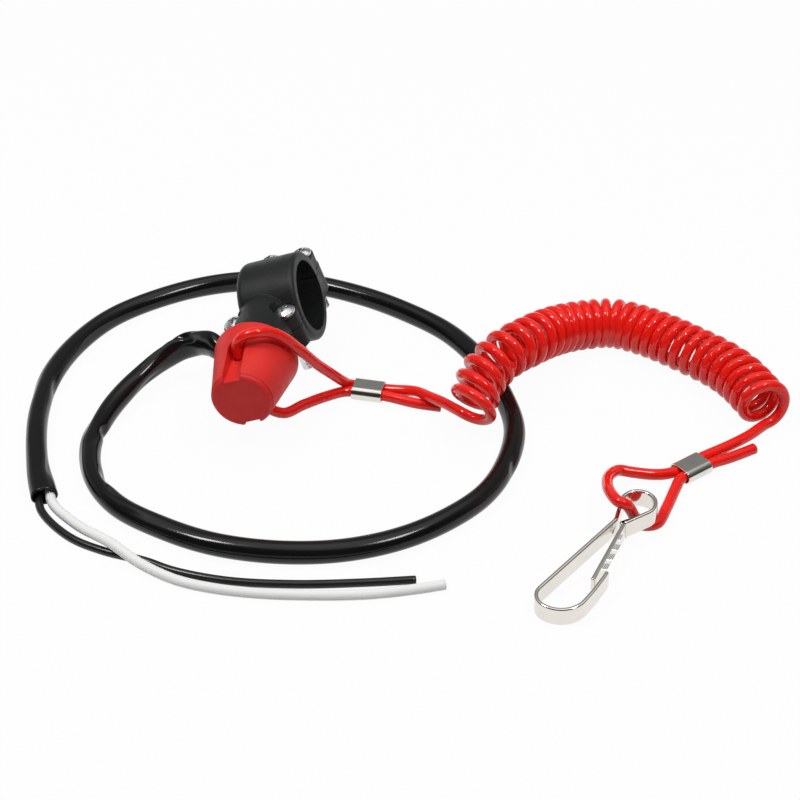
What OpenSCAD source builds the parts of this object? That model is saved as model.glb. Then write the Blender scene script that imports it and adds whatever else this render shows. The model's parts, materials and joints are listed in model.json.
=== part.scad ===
// Tether kill switch for a motorcycle handlebar. A two-half clamp housing holds a plunger switch,
// and a red cap on a coiled lanyard keeps the plunger pressed in. Millimetres, +Z up, resting on z = 0.
// Switch frame: +X along the handlebar, -Y along the plunger towards the cap, +Z across the split.

/* [Handlebar clamp] */
// Diameter of the handlebar that the clamp closes on
bar_d = 22.2; // [21.8:0.1:22.6]
// Wall of the clamp ring round the bar
clamp_wall = 3; // [2.6:0.1:3.6]
// Length of the clamp ring along the bar
clamp_length = 19.5; // [18:0.5:24]
// How far the ring's middle lies to the right of the switch body
clamp_offset = 2.1; // [0:0.1:3]
// Rounding of the ring's left end
left_edge = 2.4; // [1:0.1:2.4]
// Rounding of the ring's right end
right_edge = 1.4; // [0.6:0.1:2.4]
// Gap between the two housing halves
split_gap = 0.3; // [0.2:0.05:0.6]

/* [Switch body] */
// Diameter of the switch body in front of the ring
stub_d = 19.5; // [19:0.1:20.5]
// Length of the switch body from the ring's outside to its end
stub_length = 21.9; // [21:0.1:24]
// Rounding of the end of the switch body
stub_edge = 1; // [0.5:0.1:1.5]
// Thickness of the wall that the plunger comes through
front_wall = 2.5; // [2:0.1:3]
// Inner diameter of the switch chamber
chamber_d = 14.4; // [14:0.1:14.8]

/* [Screws] */
// Diameter of the four screws
screw_d = 3.8; // [3.4:0.1:4]
// Length of the screws under the head
screw_length = 20; // [18:0.5:24]
// Diameter of the screw heads
head_d = 6.6; // [6:0.1:7]
// Height of the screw heads
head_h = 2.2; // [1.8:0.1:2.6]
// Height of the head seats above the split
head_seat = 4.6; // [4:0.1:5]
// Distance between the two front screws
front_spacing = 16.7; // [16.4:0.1:17.6]
// Distance from the ring's outside to the front screws
front_offset = 2; // [1.8:0.1:2.6]
// Distance between the two rear screws
rear_spacing = 10.8; // [9:0.1:12]
// Distance from the ring's outside to the rear screws
rear_offset = 4.2; // [4:0.1:5]
// How far the rear screws' middle lies to the right of the switch body
rear_shift = 1.8; // [0:0.1:3]
// Diameter of the bosses round the screws
boss_d = 7.4; // [7:0.1:8]
// Depth of the front bosses below the split
front_depth = 6.8; // [6:0.1:9.5]
// Depth of the rear lug below the split
rear_depth = 9.5; // [8:0.1:11]
// How far the lower lug stands out behind the upper one
lug_step = 0.8; // [0.4:0.1:1.2]

/* [Switch works] */
// Travel of the plunger
plunger_travel = 4; // [3:0.1:4]
// Diameter of the plunger's stem
plunger_d = 5; // [4.6:0.1:5.2]
// Wire diameter of the return spring
spring_wire = 0.5; // [0.4:0.05:0.6]
// Turns of the return spring
spring_turns = 5; // [4:0.5:6]
// Thickness of the brass contacts
brass_t = 0.8; // [0.6:0.1:0.9]
// Width of the contact strips
strip_w = 5; // [4:0.1:5]
// Length of the block that holds the contact strips
carrier_length = 3.6; // [3:0.1:4]

/* [Cap] */
// Diameter of the cap's rim
cap_rim_d = 25.5; // [24.5:0.1:26.5]
// Diameter of the cap's end
cap_end_d = 18; // [17:0.1:19]
// Length of the cap
cap_length = 23; // [22:0.1:25]
// How far the cap covers the switch body
cap_cover = 6.2; // [5:0.1:6.4]
// Play between the cap's socket and the switch body
cap_play = 0.15; // [0.1:0.05:0.3]
// Width of the two cord grooves
groove_w = 5.5; // [5:0.1:6]
// Distance between the floors of the two grooves
groove_floor = 14.5; // [13.5:0.1:15]
// Length of the grooves from the cap's end
groove_length = 16; // [15.5:0.1:17]
// Distance from the cap's end to the cross hole
hole_from_end = 12.7; // [12:0.1:13]
// Diameter of the cross hole
hole_d = 4.4; // [4:0.1:4.8]

/* [Lanyard] */
// Diameter of the lanyard's cord
cord_d = 3.3; // [2.8:0.1:3.3]
// Outer diameter of the coiled stretch
coil_d = 16; // [14:0.5:16]
// Length of the crimped ferrules
ferrule_length = 9.3; // [8:0.1:10]
// Wall of the ferrules
ferrule_wall = 0.5; // [0.4:0.1:0.7]

/* [Snap hook] */
// Thickness of the hook's strip
strip_t = 1.2; // [1:0.1:1.4]
// Width of the hook's strip
hook_w = 5.8; // [5:0.1:5.8]
// Length of the gate
gate_length = 22.7; // [22:0.1:23.5]

/* [Cable] */
// Diameter of the cable's sleeve
sleeve_d = 6.5; // [5.5:0.1:6.5]
// Diameter of the white wire
white_d = 2.9; // [2:0.1:2.9]
// Diameter of the black wire
black_d = 2.4; // [1.8:0.1:2.4]

/* [Hidden] */
$fn = 64;
eps = 0.01;

// Clearances between pieces that fit together
fit = 0.05;
play = 0.1;
seat = 0.15;

// Reach of the cutting bodies past what they cut, and half a turn
room = 60;
half_turn = 180;

// Reaches along the switch's axis, from the bar's axis towards the cap
ring_r = bar_d / 2 + clamp_wall;
stub_reach = ring_r + stub_length;
front_reach = ring_r + front_offset;
rear_reach = ring_r + rear_offset;
rim_reach = stub_reach - cap_cover;
cap_reach = rim_reach + cap_length;
chamber_front = stub_reach - front_wall;
chamber_rear = chamber_front - 11.7;
pocket_rear = ring_r + 1.9;
carrier_front = pocket_rear + carrier_length + 0.2;
cable_reach = chamber_front - 10;
hole_reach = cap_reach - hole_from_end;

// Places across the switch's axis
front_x = front_spacing / 2;
rear_x = [rear_shift - rear_spacing / 2, rear_shift + rear_spacing / 2];
clamp_left = clamp_offset - clamp_length / 2;
clamp_right = clamp_offset + clamp_length / 2;
boss_r = boss_d / 2;
screw_r = screw_d / 2;
chamber_r = chamber_d / 2;
pocket_x = 4.8;

// The contact strips lie along the chamber's wall, and their tips turn in
strip_outer = chamber_r - 0.7;
strip_inner = strip_outer - 0.6;
tip_inner = strip_outer - 2.4;
tip_rear = chamber_front - 2 * brass_t;
bridge_reach = tip_rear - play - plunger_travel;
collar_reach = chamber_front - 0.3 - plunger_travel;
collar_r = tip_inner - 0.5;
spring_r = plunger_d / 2 + spring_wire / 2 + 0.2;

// The inner leads run round the spring from the cable to the strips
lead_r = 1;
lead_path_r = chamber_r - 1.9;
lead_offset = 1.2;
lead_from = atan2(lead_offset, sqrt(pow(lead_path_r, 2) - pow(lead_offset, 2)));
lead_to = 65;

// The switch lies rolled on its front left screw, with its bounding box centred over the origin.
// The ring's right edge and the front left boss are its widest points
roll = 19.5;
right_extent = (clamp_right - right_edge) * cos(roll) + (ring_r - right_edge) * sin(roll) + right_edge;
left_extent = (front_x + boss_r) * cos(roll) + head_seat * sin(roll);
switch_x = (left_extent - right_extent) / 2;
switch_y = (cap_reach - rear_reach - boss_r - lug_step) / 2;
switch_z = (front_x + screw_r) * sin(roll) + (screw_length - head_seat - fit) * cos(roll);

// Ferrules: middle and heading on the table
ferrule_in = 2 * cord_d + 0.7;
ferrule_bore = cord_d + 0.1;
ferrule_z = ferrule_bore / 2 + ferrule_wall + fit;
strand_side = ferrule_in / 2 - cord_d / 2 - 0.15;
cap_ferrule = [31, -6, ferrule_z];
cap_ferrule_turn = -5;
hook_ferrule = [129, -32, ferrule_z];
hook_ferrule_turn = 44;

// Snap hook: place of the eye, heading and tilt on the table, and the run of its strip
hook_turn = -114.4;
hook_tilt = 4.4;
hook_reach = 48.1;
eye_at = [113.7, -57.4, hook_reach * sin(hook_tilt)];
neck_at = [9.8, -2.1];
back_turn = -10;
// Each step of the strip is a straight length, or a bend's radius and its turn to the left
hook_run = [
    ["straight", 32.7], ["bend", 4.5, 90], ["bend", 7.5, 95], ["straight", 4.5], ["bend", 40, 8],
    ["straight", 2.2]
];
eye_run = [
    ["bend", 3, 25], ["straight", 7.4], ["bend", 4.7, -224], ["straight", 8.2], ["bend", 1.6, 24]
];
bend_chord = 10;
gate_at = [10.15, 0.77];
gate_turn = 5.5;

// Points of the switch, of a ferrule and along a spring, in the model's frame
function at_switch(p) = [
    switch_x + p[0] * cos(roll) - p[2] * sin(roll),
    switch_y + p[1],
    switch_z + p[0] * sin(roll) + p[2] * cos(roll)
];
function at_ferrule(place, turn, along, side) = place + [
    along * cos(turn) - side * sin(turn),
    along * sin(turn) + side * cos(turn),
    0
];
function spring_point(i, steps, from, to) =
    let (turn = 360 * spring_turns * i / steps)
    [spring_r * cos(turn), -(from + (to - from) * i / steps), spring_r * sin(turn)];

// Routes, chosen by hand, with the ends worked out from what they fit in
cable_route = concat(
    [at_switch([-chamber_r - 0.1, -cable_reach, 0]), at_switch([-13.5, -cable_reach, 0])],
    [
        [-18, -5.5, 12.4], [-22.5, -2.5, 11.6], [-27.5, -2, 10.3], [-32, -5, 8.7], [-36.5, -10.5, 6.8],
        [-41.5, -19, 4.8], [-45, -31, 3.5], [-45.5, -45, 3.3], [-41, -59, 3.3], [-31, -71, 3.3],
        [-16, -79, 3.3], [0, -84, 3.3],
        [18, -85, 3.3], [35, -82, 3.3], [50, -75, 3.3], [62, -65, 3.3], [71, -53, 3.3],
        [76, -38, 3.3], [77, -22, 3.3], [73, -7, 3.3], [64, 12, 3.3], [52, 27, 3.3], [38, 37, 3.3],
        [22, 45, 3.3], [4, 50, 3.3], [-14, 50, 3.3], [-30, 45, 3.3], [-45, 35, 3.3],
        [-57, 22, 3.3], [-64, 6, 3.3], [-67, -11, 3.3], [-66, -28, 3.3], [-62, -45, 3.3],
        [-57, -59, 3.3], [-52, -70, 3.3]
    ]
);
white_route = [
    [-51.5, -67, 3], [-49, -72, 2.4], [-39, -81, 3], [-28, -88.5, 4.6], [-18, -94.2, 3],
    [-8, -97.5, 1.5], [2, -99.5, 1.5], [14, -100, 1.5], [28, -99, 1.5], [44, -96.5, 1.5],
    [56, -93, 1.5], [64, -90, 1.5]
];
black_route = [
    [-54.5, -68, 2.6], [-52, -74, 1.4], [-41, -84, 1.3], [-30, -88.5, 1.3], [-18, -91, 1.3],
    [-9, -94, 1.3], [6, -96, 1.3], [24, -95, 1.3], [42, -92, 1.3], [56, -89, 1.3]
];
cap_loop_route = concat(
    [[54, -11, 1.8], [46, -10.5, 2.1]],
    [for (along = [6, -6]) at_ferrule(cap_ferrule, cap_ferrule_turn, along, -strand_side)],
    [[19, -12, 3.2], [13, -18, 3.8], [8, -23.5, 4.2], [3.5, -25, 7]],
    [for (height = [-6.5, 7.5]) at_switch([0, -hole_reach, height])],
    [
        [-4.7, -25, 28.7], [-2.7, -25, 31.6], [1, -24, 32.8], [4.5, -21.5, 31.6], [7.5, -20, 29.5],
        [10.5, -18.5, 26], [13.5, -16.5, 21.5], [16.5, -13.5, 16], [20, -10, 10.5], [23, -6.5, 5.5]
    ],
    [for (along = [-6, 6]) at_ferrule(cap_ferrule, cap_ferrule_turn, along, strand_side)],
    [[45.5, -6.5, 3.6], [50.5, -11.5, 5.6], [55, -16, 7.2], [59, -20, 8], [63, -22, 8.3]]
);
coil_route = [
    [65, -25, 14.4], [65.5, -17, 15], [67.5, -9, 15.2], [70, -3.5, 15.2], [73, 2.5, 14.8],
    [76.5, 8.5, 13.4], [80, 14.5, 12], [84, 21, 10.2], [89, 26.5, 8.8], [96, 30.5, 8.1],
    [104, 32.2, 8.1], [115.5, 28.4, 8.1], [130.5, 18.8, 8.1], [138, 12.9, 8.1], [143.5, 6.5, 8.1],
    [148, -1.5, 8.1], [151, -7, 8.1]
];
hook_loop_route = concat(
    [[151, -6, 2.2], [146, -13.5, 1.9], [139.5, -20, 2.1]],
    [for (along = [6, -6]) at_ferrule(hook_ferrule, hook_ferrule_turn, along, strand_side)],
    [
        [118.3, -37, 2.8], [112, -37.8, 3.6], [108.2, -38.3, 4.3], [105.5, -43.5, 6],
        [105.1, -50, 8.1], [106.2, -57, 10.5], [108.4, -61.6, 11.6], [110.3, -61.8, 11.1],
        [111.6, -61.3, 9.2], [112.6, -60.7, 6.9], [113.7, -60.1, 4.6], [115, -59.5, 2.6],
        [117.2, -58.7, 1.7], [119.7, -57.3, 1.7], [122.1, -50.5, 1.8], [124.7, -41, 1.9]
    ],
    [for (along = [-6, 6]) at_ferrule(hook_ferrule, hook_ferrule_turn, along, -strand_side)],
    [[140.5, -25, 2], [147.5, -19.5, 1.8]]
);

// Sweeps of a round section along a list of points
function unit(v) = v / norm(v);
function heading(p, i) = unit(p[min(i + 1, len(p) - 1)] - p[max(i - 1, 0)]);
function across(t) = unit(cross(t, abs(t[2]) < 0.8 ? [0, 0, 1] : [1, 0, 0]));
function carried(p, i, side) = i >= len(p) ? [] :
    let (t = heading(p, i), n = unit(side - (side * t) * t))
    concat([n], carried(p, i + 1, n));

module sweep(route, d, sides) {
    last = len(route) - 1;
    n = carried(route, 0, across(heading(route, 0)));
    points = [
        for (i = [0:last]) let (m = cross(heading(route, i), n[i]))
        for (k = [0:sides - 1]) route[i] + d / 2 * (cos(360 * k / sides) * n[i] + sin(360 * k / sides) * m)
    ];
    walls = [
        for (i = [0:last - 1]) for (k = [0:sides - 1]) let (j = (k + 1) % sides)
        for (f = [
            [i * sides + k, (i + 1) * sides + k, i * sides + j],
            [i * sides + j, (i + 1) * sides + k, (i + 1) * sides + j]
        ]) f
    ];
    ends = [
        [for (k = [0:sides - 1]) k],
        [for (k = [sides - 1:-1:0]) last * sides + k]
    ];
    polyhedron(points, concat(walls, ends), convexity = 10);
}

module place_switch() {
    translate([switch_x, switch_y, switch_z]) rotate([0, -roll, 0]) children();
}

// A round bar along the switch's axis, from one reach to another
module along_switch(from, to, r) {
    translate([0, -from, 0]) rotate([90, 0, 0]) cylinder(h = to - from, r = r);
}

// A turned form along the switch's axis: the outline's x is the radius, and its y the reach
module turned() {
    rotate([90, 0, 0]) rotate_extrude() children();
}

// Half the section of a round block, with its own rounding at each end
module block_profile(outer, length, start_edge, end_edge) {
    translate([0, start_edge]) square([outer, length - start_edge - end_edge]);
    square([outer - start_edge, start_edge]);
    translate([outer - start_edge, start_edge]) circle(start_edge);
    translate([0, length - end_edge]) square([outer - end_edge, end_edge]);
    translate([outer - end_edge, length - end_edge]) circle(end_edge);
}

module clamp_ring() {
    translate([clamp_left, 0, 0]) rotate([0, 90, 0]) rotate_extrude()
        block_profile(ring_r, clamp_length, left_edge, right_edge);
}

module stub() {
    turned() {
        square([stub_d / 2, stub_reach - stub_edge]);
        square([stub_d / 2 - stub_edge, stub_reach]);
        translate([stub_d / 2 - stub_edge, stub_reach - stub_edge])
            intersection() {
                circle(stub_edge);
                square(stub_edge);
            }
    }
}

module front_boss_outline() {
    for (x = [-front_x, front_x]) translate([x, -front_reach]) circle(boss_r);
    translate([-front_x, -front_reach - boss_r]) square([2 * front_x, boss_r + front_offset]);
    translate([0, -front_reach]) square([min(front_x + boss_r, clamp_right - 0.4), front_reach - bar_d / 2]);
}

module rear_lug_outline(step) {
    rear = rear_reach + boss_r + step;
    for (x = rear_x) translate([x, rear - boss_r]) circle(boss_r);
    translate([rear_x[0], bar_d / 2]) square([rear_spacing, rear - bar_d / 2]);
    translate([rear_x[0] - boss_r, bar_d / 2]) square([rear_spacing + boss_d, rear - boss_r - bar_d / 2]);
}

module screw_places() {
    for (x = [-front_x, front_x]) translate([x, -front_reach, 0]) children();
    for (x = rear_x) translate([x, rear_reach, 0]) children();
}

// Everything that is open inside the closed housing
module housing_cuts(screw_hole_d) {
    translate([clamp_left - 1, 0, 0]) rotate([0, 90, 0]) cylinder(h = clamp_length + 2, d = bar_d);
    along_switch(chamber_rear, chamber_front, chamber_r);
    translate([-pocket_x, -chamber_rear - eps, -chamber_r])
        cube([2 * pocket_x, chamber_rear - pocket_rear + eps, 2 * chamber_r]);
    along_switch(chamber_front - 1, stub_reach + 1, plunger_d / 2 + play);
    translate([-chamber_r + 1, -cable_reach, 0]) rotate([0, -90, 0]) cylinder(h = 8, d = sleeve_d + 2 * seat);
    screw_places() translate([0, 0, -room / 2]) cylinder(h = room, d = screw_hole_d);
}

module housing_upper() {
    color("#262a28") place_switch() difference() {
        intersection() {
            union() {
                clamp_ring();
                stub();
                linear_extrude(head_seat) front_boss_outline();
                linear_extrude(head_seat) rear_lug_outline(0);
            }
            translate([-room, -room, split_gap / 2]) cube([2 * room, 2 * room, room]);
        }
        housing_cuts(screw_d + 0.4);
        screw_places() translate([0, 0, head_seat]) cylinder(h = room, d = head_d + 0.8);
    }
}

module housing_lower() {
    color("#222524") place_switch() difference() {
        intersection() {
            union() {
                clamp_ring();
                stub();
                translate([0, 0, -front_depth]) linear_extrude(front_depth) front_boss_outline();
                translate([0, 0, -rear_depth]) linear_extrude(rear_depth) rear_lug_outline(lug_step);
            }
            translate([-room, -room, -room - split_gap / 2]) cube([2 * room, 2 * room, room]);
        }
        housing_cuts(screw_d + 2 * fit);
    }
}

// A domed head with a cross recess on a plain shank
module screw() {
    dome_r = head_d * 0.72;
    translate([0, 0, -screw_length]) cylinder(h = screw_length + eps, r = screw_r);
    difference() {
        intersection() {
            cylinder(h = head_h, d = head_d);
            translate([0, 0, head_h - dome_r]) sphere(dome_r);
        }
        for (turn = [0, 90]) rotate([0, 0, turn])
            translate([-head_d * 0.27, -0.4, head_h - 1.1]) cube([head_d * 0.54, 0.8, 2]);
    }
}

module clamp_screws() {
    color("#c9ccd0") place_switch() screw_places() translate([0, 0, head_seat + fit]) screw();
}

module contact_carrier() {
    length = carrier_length;
    color("#6b4a2c") place_switch() difference() {
        translate([-pocket_x + seat, -pocket_rear - 0.1 - length, -chamber_r + seat])
            cube([2 * (pocket_x - seat), length, 2 * (chamber_r - seat)]);
        for (side = [0, 1]) mirror([0, 0, side])
            translate([-strip_w / 2 - fit, -pocket_rear - 1 - length, strip_inner - fit])
                cube([strip_w + 2 * fit, length + 2, strip_outer - strip_inner + 2 * fit]);
    }
}

module contact_strip() {
    translate([-strip_w / 2, -tip_rear - brass_t, strip_inner])
        cube([strip_w, tip_rear + brass_t - pocket_rear - 0.3, strip_outer - strip_inner]);
    translate([-strip_w / 2, -tip_rear - brass_t, tip_inner])
        cube([strip_w, brass_t, strip_outer - tip_inner]);
}

module contact_strip_upper() {
    color("#c9a24a") place_switch() contact_strip();
}

module contact_strip_lower() {
    color("#c9a24a") place_switch() mirror([0, 0, 1]) contact_strip();
}

// A lead from the cable's end, round the spring, to a soldered pin on the upper strip
module lead() {
    start = chamber_r + 0.05;
    bend = lead_path_r * cos(lead_from);
    translate([-start, -cable_reach, lead_offset]) rotate([0, 90, 0]) cylinder(h = start - bend, r = lead_r);
    translate([-bend, -cable_reach, lead_offset]) sphere(lead_r);
    translate([0, -cable_reach, 0]) rotate([-90, 0, 0]) rotate([0, 0, 180])
        mirror([0, 1, 0]) rotate([0, 0, -lead_to]) rotate_extrude(angle = lead_to - lead_from)
            translate([lead_path_r, 0]) circle(lead_r);
    translate([-lead_path_r * cos(lead_to), -cable_reach, lead_path_r * sin(lead_to) - 0.3])
        cylinder(h = strip_inner - lead_path_r * sin(lead_to) + 0.3 - fit, r = 0.5);
}

module lead_white() {
    color("#e8e8e4") place_switch() lead();
}

module lead_black() {
    color("#16181a") place_switch() mirror([0, 0, 1]) lead();
}

module plunger() {
    tip = 0.6;
    tail = bridge_reach - brass_t;
    color("#e6e2d6") place_switch() {
        along_switch(tail, stub_reach - tip, plunger_d / 2);
        translate([0, -stub_reach + tip, 0]) rotate([90, 0, 0])
            cylinder(h = tip, r1 = plunger_d / 2, r2 = plunger_d / 2 - tip);
        along_switch(bridge_reach + fit, collar_reach, collar_r);
        along_switch(tail - 4.5, tail, plunger_d / 2 - 0.3);
    }
}

// A brass bar that closes the two contact tips when the plunger comes out
module contact_bridge() {
    half = strip_inner - 0.3;
    color("#d8b05a") place_switch() difference() {
        translate([-2 - plunger_d / 4, -bridge_reach, -half]) cube([4 + plunger_d / 2, brass_t, 2 * half]);
        along_switch(bridge_reach - 2 * brass_t, bridge_reach + brass_t, plunger_d / 2 + fit);
    }
}

module return_spring() {
    steps = 12 * spring_turns;
    from = carrier_front + spring_wire / 2;
    to = bridge_reach - brass_t - spring_wire / 2 - play;
    color("#b9bec4") place_switch()
        sweep([for (i = [0:steps]) spring_point(i, steps, from, to)], spring_wire, 6);
}

module cap_profile() {
    rim_edge = 0.8;
    end_edge = 1.2;
    slope = (cap_rim_d - cap_end_d) / 2 / cap_length;
    rim_r = cap_rim_d / 2;
    end_r = cap_end_d / 2;
    polygon([
        [0, 0], [rim_r - rim_edge, 0], [rim_r, rim_edge],
        [end_r + slope * end_edge, cap_length - end_edge], [end_r - end_edge, cap_length - end_edge],
        [end_r - end_edge, cap_length], [0, cap_length]
    ]);
    translate([rim_r - rim_edge, rim_edge]) circle(rim_edge);
    translate([end_r - end_edge, cap_length - end_edge]) circle(end_edge);
}

module tether_cap() {
    socket = cap_cover + 0.3;
    color("#c4151b") place_switch() difference() {
        translate([0, -rim_reach, 0]) turned() cap_profile();
        along_switch(rim_reach - 1, rim_reach + socket, stub_d / 2 + cap_play);
        for (side = [0, 1]) mirror([0, 0, side]) translate([0, -cap_reach, groove_floor / 2]) {
            translate([-groove_w / 2, -1, 0]) cube([groove_w, groove_length + 1 - groove_w / 2, 20]);
            translate([0, groove_length - groove_w / 2, 0]) cylinder(h = 20, d = groove_w);
        }
        translate([0, -hole_reach, -20]) cylinder(h = 40, d = hole_d);
    }
}

module lanyard_cap_loop() {
    color("#e01418") sweep(cap_loop_route, cord_d, 8);
}

module lanyard_coil() {
    color("#e01418") sweep(coil_route, coil_d, 12);
}

module lanyard_hook_loop() {
    color("#e01418") sweep(hook_loop_route, cord_d, 8);
}

module slot_outline(width, height) {
    for (x = [-1, 1]) translate([x * (width - height) / 2, 0]) circle(d = height);
    square([width - height, height], center = true);
}

// A flat oval sleeve that is crimped round two strands
module ferrule(place, turn) {
    color("#cfcabf") translate(place) rotate([0, 0, turn]) rotate([90, 0, 90])
        linear_extrude(ferrule_length, center = true) difference() {
            slot_outline(ferrule_in + 2 * ferrule_wall, ferrule_bore + 2 * ferrule_wall);
            slot_outline(ferrule_in, ferrule_bore);
        }
}

module ferrule_cap_end() {
    ferrule(cap_ferrule, cap_ferrule_turn);
}

module ferrule_hook_end() {
    ferrule(hook_ferrule, hook_ferrule_turn);
}

// Places and headings along a run of straight lengths and bends
function along_bend(step, at, turn) =
    let (side = sign(step[2]), chords = ceil(abs(step[2]) / bend_chord))
    let (centre = at + side * step[1] * [-sin(turn), cos(turn)])
    [
        for (k = [0:chords]) let (a = turn + step[2] * k / chords)
        [centre + side * step[1] * [sin(a), -cos(a)], a]
    ];
function along_run(run, at, turn, i = 0) = i >= len(run) ? [[at, turn]] :
    let (straight_end = at + run[i][1] * [cos(turn), sin(turn)])
    let (line = run[i][0] == "straight" ? [[at, turn], [straight_end, turn]] : along_bend(run[i], at, turn))
    let (last = len(line) - 1)
    concat([for (k = [0:last - 1]) line[k]], along_run(run, line[last][0], line[last][1], i + 1));

// A flat strip on edge, bent to and fro from one place along two runs
module strip(back_run, run, at, turn, width) {
    back = along_run(back_run, at, turn + half_turn);
    line = concat(
        [for (i = [len(back) - 1:-1:1]) [back[i][0], back[i][1] - half_turn]],
        along_run(run, at, turn)
    );
    linear_extrude(width) polygon(concat(
        [for (p = line) p[0] + strip_t / 2 * [-sin(p[1]), cos(p[1])]],
        [for (i = [len(line) - 1:-1:0]) line[i][0] - strip_t / 2 * [-sin(line[i][1]), cos(line[i][1])]]
    ));
}

module place_hook() {
    translate(eye_at) rotate([0, 0, hook_turn]) rotate([0, hook_tilt, 0]) children();
}

module snap_hook() {
    color("#cdcfcf") place_hook() difference() {
        strip(eye_run, hook_run, neck_at, back_turn, hook_w);
        translate([gate_at[0], gate_at[1], -1]) cylinder(h = hook_w + 2, r = strip_t / 2 + play);
    }
}

// The sprung gate, with a round root where the strip flexes
module hook_gate() {
    trim = 0.2;
    color("#d3d5d5") place_hook() translate([gate_at[0], gate_at[1], trim]) rotate([0, 0, gate_turn]) {
        cylinder(h = hook_w - 2 * trim, d = strip_t);
        translate([0, -strip_t / 2, 0]) cube([gate_length, strip_t, hook_w - 2 * trim]);
    }
}

module cable_sleeve() {
    color("#131517") sweep(cable_route, sleeve_d, 10);
}

module wire_white() {
    color("#f0f0ee") sweep(white_route, white_d, 8);
}

module wire_black() {
    color("#15171a") sweep(black_route, black_d, 8);
}

housing_upper();
housing_lower();
clamp_screws();
contact_carrier();
contact_strip_upper();
contact_strip_lower();
lead_white();
lead_black();
plunger();
contact_bridge();
return_spring();
tether_cap();
lanyard_cap_loop();
lanyard_coil();
lanyard_hook_loop();
ferrule_cap_end();
ferrule_hook_end();
snap_hook();
hook_gate();
cable_sleeve();
wire_white();
wire_black();
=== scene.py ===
"""Looks of a tether engine kill switch: cords, finishes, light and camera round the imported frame."""

from __future__ import annotations

import json
import logging
import math
from dataclasses import dataclass, field
from enum import Enum
from typing import ClassVar, Sequence

import bpy
from mathutils import Matrix, Vector

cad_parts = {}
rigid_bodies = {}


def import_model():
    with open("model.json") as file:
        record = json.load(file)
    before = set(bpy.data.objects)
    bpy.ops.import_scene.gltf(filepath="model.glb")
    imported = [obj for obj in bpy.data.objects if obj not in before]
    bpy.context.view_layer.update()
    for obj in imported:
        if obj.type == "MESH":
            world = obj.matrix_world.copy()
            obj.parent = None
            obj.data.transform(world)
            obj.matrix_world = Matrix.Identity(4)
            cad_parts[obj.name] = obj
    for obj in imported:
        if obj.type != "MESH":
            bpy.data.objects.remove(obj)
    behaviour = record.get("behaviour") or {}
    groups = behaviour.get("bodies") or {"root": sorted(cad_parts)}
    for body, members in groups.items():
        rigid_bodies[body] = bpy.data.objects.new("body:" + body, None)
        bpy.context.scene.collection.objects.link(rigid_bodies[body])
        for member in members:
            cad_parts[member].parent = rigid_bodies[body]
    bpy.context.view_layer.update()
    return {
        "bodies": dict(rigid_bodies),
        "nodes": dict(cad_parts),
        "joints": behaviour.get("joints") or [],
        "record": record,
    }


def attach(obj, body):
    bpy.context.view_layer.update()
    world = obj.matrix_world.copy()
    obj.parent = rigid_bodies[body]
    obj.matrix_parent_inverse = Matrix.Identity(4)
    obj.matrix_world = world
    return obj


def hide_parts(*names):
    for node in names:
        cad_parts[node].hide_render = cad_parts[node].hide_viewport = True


LOG = logging.getLogger("kill_switch")
MM = 0.001
UP = Vector((0, 0, 1))
STEEP = 0.2
Point = tuple[float, float, float]


# Lines and tubes


def catmull_rom(points: Sequence[Vector], step: float) -> list[Vector]:
    """Runs one smooth curve through points.

    Args:
        points: the points that the curve passes through.
        step: the rough distance between the points that come back.

    Returns:
        Points along the curve, from the first point to the last.
    """
    ends = [2 * points[0] - points[1], *points, 2 * points[-1] - points[-2]]
    line: list[Vector] = []
    for i in range(1, len(ends) - 2):
        quad = ends[i - 1 : i + 3]
        knots = [0.0]
        for a, b in zip(quad, quad[1:]):
            knots.append(knots[-1] + max((b - a).length, 1e-6) ** 0.5)
        count = max(1, round((quad[2] - quad[1]).length / step))
        for k in range(count):
            at = knots[1] + (knots[2] - knots[1]) * k / count
            level = list(quad)
            for depth in (1, 2, 3):
                for j in range(4 - depth):
                    low, high = (j, j + depth) if depth < 3 else (1, 2)
                    share = (at - knots[low]) / (knots[high] - knots[low])
                    level[j] = level[j].lerp(level[j + 1], share)
            line.append(level[0])
    line.append(points[-1].copy())
    return line


def even_line(points: Sequence[Vector], step: float) -> list[Vector]:
    """Spaces points evenly along a line.

    Args:
        points: the line's own points, close together.
        step: the distance wanted between the new points.

    Returns:
        The new points, with both ends kept.
    """
    reach = reaches(points)
    count = max(2, round(reach[-1] / step))
    out: list[Vector] = []
    j = 0
    for k in range(count + 1):
        want = reach[-1] * k / count
        while j < len(points) - 2 and reach[j + 1] < want:
            j += 1
        span = max(reach[j + 1] - reach[j], 1e-9)
        out.append(points[j].lerp(points[j + 1], (want - reach[j]) / span))
    return out


def reaches(points: Sequence[Vector]) -> list[float]:
    """Gives how far along a line each of its points lies."""
    out = [0.0]
    for a, b in zip(points, points[1:]):
        out.append(out[-1] + (b - a).length)
    return out


def headings(points: Sequence[Vector]) -> list[Vector]:
    """Gives the direction in which a line runs at each of its points."""
    last = len(points) - 1
    return [(points[min(i + 1, last)] - points[max(i - 1, 0)]).normalized() for i in range(last + 1)]


def sides(points: Sequence[Vector]) -> list[Vector]:
    """Gives a direction across a line at each point, level with the table except where the line is steep."""
    out: list[Vector] = []
    for heading in headings(points):
        across = heading.cross(UP)
        if across.length < STEEP:
            across = out[-1].copy() if out else heading.orthogonal()
            across -= across.dot(heading) * heading
        out.append(across.normalized())
    return out


def carried_sides(points: Sequence[Vector]) -> list[Vector]:
    """Gives a direction across a line at each point that turns with the line and never twists round it."""
    lines = headings(points)
    across = lines[0].cross(UP)
    if across.length < STEEP:
        across = lines[0].orthogonal()
    out: list[Vector] = []
    for heading in lines:
        across = (across - across.dot(heading) * heading).normalized()
        out.append(across.copy())
    return out


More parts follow.
